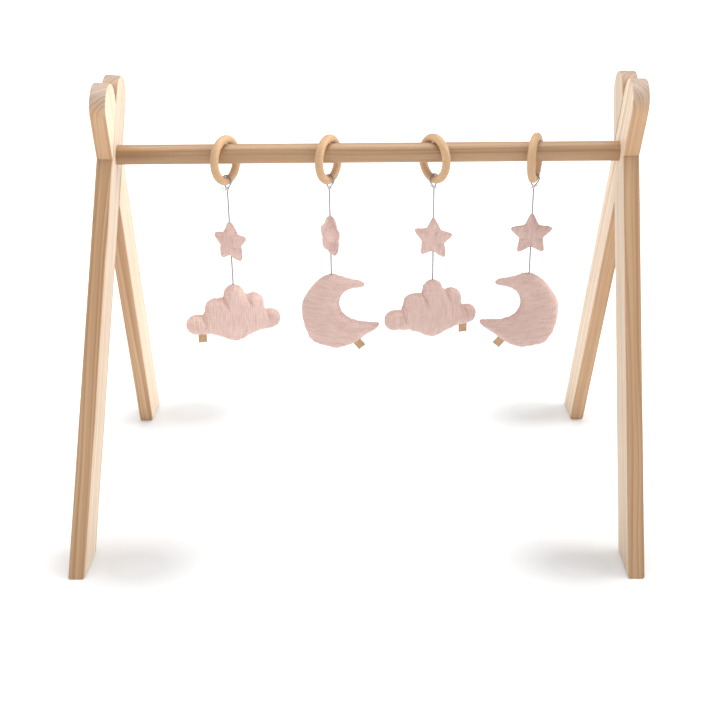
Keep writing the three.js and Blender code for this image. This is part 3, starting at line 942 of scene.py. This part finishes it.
# A star's folds run in from its notches.
NOTCH_WAYS = [np.array((math.cos(a), math.sin(a))) for a in (math.pi * (0.7 + 0.4 * i) for i in range(5))]
STAR_FOLDS = [(STAR_NOTCH * way, 0.3 * STAR_NOTCH * way) for way in NOTCH_WAYS]
STAR_DEPTH, PENDANT_DEPTH = 17, 31  # front to back, in mm
STAR_STEP, PENDANT_STEP = 1.5, 2.0  # between the points of the sewn mesh, in mm
STAR_PLUMPNESS, PENDANT_PLUMPNESS = 1.15, 1.0
MOON_RIBS = 82  # degrees from upright
# The second colour is the muslin's darker one: its uneven tone and its seam, and painted shade in its
# hollows and folds.
ROSE, ROSE_SLUB_AND_PAINTED_SHADE = (236, 210, 201), (212, 180, 171)
# Painted light and shade: each toy's muslin is made a little lighter or darker, lighter at the left and
# darker towards the right, standing in for how the light falls across the gym.
TOY_PAINTED_LIGHT = {"star_4": 0.95, "moon_4": 0.95, "star_3": 0.98, "moon_2": 0.98, "cloud_3": 0.98, "cloud_1": 1.02}


def muslin_with_painted_light(name, seed):
    """The muslin of one toy, made lighter or darker by its painted light."""
    shades = [linear(*(TOY_PAINTED_LIGHT.get(name, 1.0) * c for c in colour)) for colour in (ROSE, ROSE_SLUB_AND_PAINTED_SHADE)]
    return muslin(f"{name}_muslin", seed, *shades)


for hanger in HANGERS:
    n, x, kind = hanger["n"], hanger["x"], hanger["kind"]
    star_name, toy_name = f"star_{n}", f"{kind}_{n}"
    star = stuff(
        f"stuffed_{star_name}",
        rounded_star(),
        STAR_STEP,
        STAR_DEPTH,
        STAR_PLUMPNESS,
        10 + n,
        rib_turn=0,
        folds=STAR_FOLDS,
        fold_depth=STAR_FOLD,
    )
    middle = hanger["star_top"] - (STAR_TIP - 0.45 * STAR_TIP_ROUNDING) * MM
    finish_toy(star, (x, 0, middle), hanger["star"], star_name, f"stuffed_{star_name}", muslin_with_painted_light(star_name, n))
    if kind == "cloud":
        outline, ribs, folds = cloud_outline(), 0, CLOUD_FOLDS
    else:
        outline, ribs, folds = moon_outline(hanger["side"]), MOON_RIBS * hanger["side"], ()
    toy = stuff(
        f"stuffed_{toy_name}",
        outline,
        PENDANT_STEP,
        PENDANT_DEPTH,
        PENDANT_PLUMPNESS,
        20 + n,
        rib_turn=ribs,
        folds=folds,
        fold_depth=CLOUD_FOLD,
    )
    finish_toy(toy, (x, 0, hanger["top"]), hanger["turn"], toy_name, f"pendant_{n}", muslin_with_painted_light(toy_name, 4 + n))

# ---- Tags ----


def folded_tag(width, drop, sheet, tuck):
    """A strip of soft leather, folded double with the fold at the bottom; both ends run up into the seam.

    Millimetres round the middle of its visible part."""
    bend = 0.5 * sheet + 0.25
    profile = []
    for z in np.linspace(drop / 2 + tuck, -drop / 2 + bend, 12):
        profile.append((-bend * (1 if z < drop / 2 - 1.5 else 0.75), z))
    for angle in np.linspace(0, math.pi, 9)[1:-1]:
        profile.append((-bend * math.cos(angle), -drop / 2 + bend - bend * math.sin(angle)))
    for z in np.linspace(-drop / 2 + bend, drop / 2 + tuck, 12):
        profile.append((bend * (1 if z < drop / 2 - 1.5 else 0.75), z))
    profile = np.array(profile)
    along = np.gradient(profile, axis=0)
    along /= np.linalg.norm(along, axis=1)[:, None]
    out = np.stack([-along[:, 1], along[:, 0]], 1) * sheet / 2
    columns = np.array((-0.5, -0.46, -0.3, -0.1, 0.1, 0.3, 0.46, 0.5)) * width
    count, rows = len(profile), len(columns)
    points = []
    for sign in (1, -1):
        for x in columns:
            thin = 0.55 if abs(x) == 0.5 * width else 1.0
            warp = 0.35 * math.sin(x * 0.55 + 1)
            for (y, z), (oy, oz) in zip(profile, out):
                points.append((x, y + sign * thin * oy + warp * (drop / 2 - z) / drop, z + sign * thin * oz))

    def at(side, row, k):
        return (side * rows + row) * count + k

    faces = []
    for r in range(rows - 1):
        for k in range(count - 1):
            faces.append((at(0, r, k), at(0, r, k + 1), at(0, r + 1, k + 1), at(0, r + 1, k)))
            faces.append((at(1, r, k), at(1, r + 1, k), at(1, r + 1, k + 1), at(1, r, k + 1)))
        for k in (0, count - 1):
            rim = (at(0, r, k), at(0, r + 1, k), at(1, r + 1, k), at(1, r, k))
            faces.append(rim if k == 0 else rim[::-1])
    for k in range(count - 1):
        for r in (0, rows - 1):
            rim = (at(0, r, k), at(1, r, k), at(1, r, k + 1), at(0, r, k + 1))
            faces.append(rim if r == 0 else rim[::-1])
    return np.array(points), faces


TAG = label("label_leather", linear(201, 169, 132), linear(175, 141, 104))
TAG_WIDTH, TAG_DROP, TAG_SHEET, TAG_TUCK = 10, 9.4, 0.6, 2.2
MOON_TAG_LEAN = 40  # degrees, square to the moon's edge there
for hanger in HANGERS:
    n = hanger["n"]
    low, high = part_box(f"tag_{n}")
    lean = 0 if hanger["kind"] == "cloud" else -MOON_TAG_LEAN * hanger["side"]
    points, faces = folded_tag(TAG_WIDTH, TAG_DROP, TAG_SHEET, TAG_TUCK)
    leaned = Matrix.Rotation(math.radians(lean), 3, "Y")
    turned = Matrix.Rotation(math.radians(hanger["turn"]), 3, "Z") @ leaned
    points = points * MM @ np.array(turned).T + np.array((low + high) / 2)
    tag = link_mesh(f"folded_tag_{n}", points, faces)
    set_material(tag, TAG)
    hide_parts(f"tag_{n}")
    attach(tag, f"pendant_{n}")

# ---- Floor and light ----

SHADOW_PATCHES = (0.245, 0.195, 0)  # how far the middles of the floor's shadow patches, just inside the feet, stand from the middle, to each side and to the front and back
floor_material = Nodes("pale_floor")
floor_place = floor_material.add("ShaderNodeTexCoord").outputs["Object"]
# Painted light: the floor glows everywhere but in a patch just inside each foot, so that soft shadows show
# only there and are washed out elsewhere; further out it glows more, so that it stays white to the horizon.
beside = floor_material.vector("SUBTRACT", floor_material.vector("ABSOLUTE", floor_place), SHADOW_PATCHES)
reach_from_patch = floor_material.vector("LENGTH", floor_material.vector("MULTIPLY", beside, (1, 1.3, 0)))
shadow_washing_glow = floor_material.remap(reach_from_patch, 0.03, 0.15, 0.0, 0.5)
far_glow = floor_material.remap(floor_material.vector("LENGTH", floor_place), 0.36, 1.3, 0.0, 0.4)
floor_glow = floor_material.math("ADD", shadow_washing_glow, far_glow)
floor_material.set(Base_Color=(0.62, 0.62, 0.62, 1), Roughness=0.9, Emission_Color=(1, 1, 1, 1))
floor_material.set(Emission_Strength=floor_glow)
floor_material.shader.inputs["Specular IOR Level"].default_value = 0.1
floor = link_mesh("floor", [(-30, -30, 0), (30, -30, 0), (30, 30, 0), (-30, 30, 0)], [(0, 1, 2, 3)])
set_material(floor, floor_material.material)

world = bpy.data.worlds.new("studio")
world.use_nodes = True
sky = world.node_tree
upwards = sky.nodes.new("ShaderNodeSeparateXYZ")
sky.links.new(sky.nodes.new("ShaderNodeTexCoord").outputs["Generated"], upwards.inputs[0])
# White at the horizon, where it meets the floor, and dimmer above.
dimmer = sky.nodes.new("ShaderNodeMapRange")
for socket, value in (("From Min", 0.12), ("From Max", 0.45), ("To Min", 1.0), ("To Max", 0.40)):
    dimmer.inputs[socket].default_value = value
sky.links.new(upwards.outputs["Z"], dimmer.inputs["Value"])
sky.links.new(dimmer.outputs["Result"], sky.nodes["Background"].inputs["Strength"])
sky.nodes["Background"].inputs["Color"].default_value = (1, 1, 1, 1)
scene.world = world
scene.view_settings.view_transform = "Standard"


def softbox(name, place, target, size, power):
    """A square light, size metres each way, that faces target."""
    light = bpy.data.lights.new(name, "AREA")
    light.shape = "RECTANGLE"
    light.size = light.size_y = size
    light.energy = power
    lamp = bpy.data.objects.new(name, light)
    scene.collection.objects.link(lamp)
    lamp.location = place
    lamp.rotation_euler = (Vector(target) - Vector(place)).to_track_quat("-Z", "Y").to_euler()


softbox("key_right", (8, 0.5, 4.2), (0, 0, 0.25), 6, 650)
softbox("fill_left", (-8, 0, 4.2), (0, 0, 0.25), 6, 200)
softbox("top", (0, 0.2, 2.6), (0, 0, 0.3), 2.2, 54)
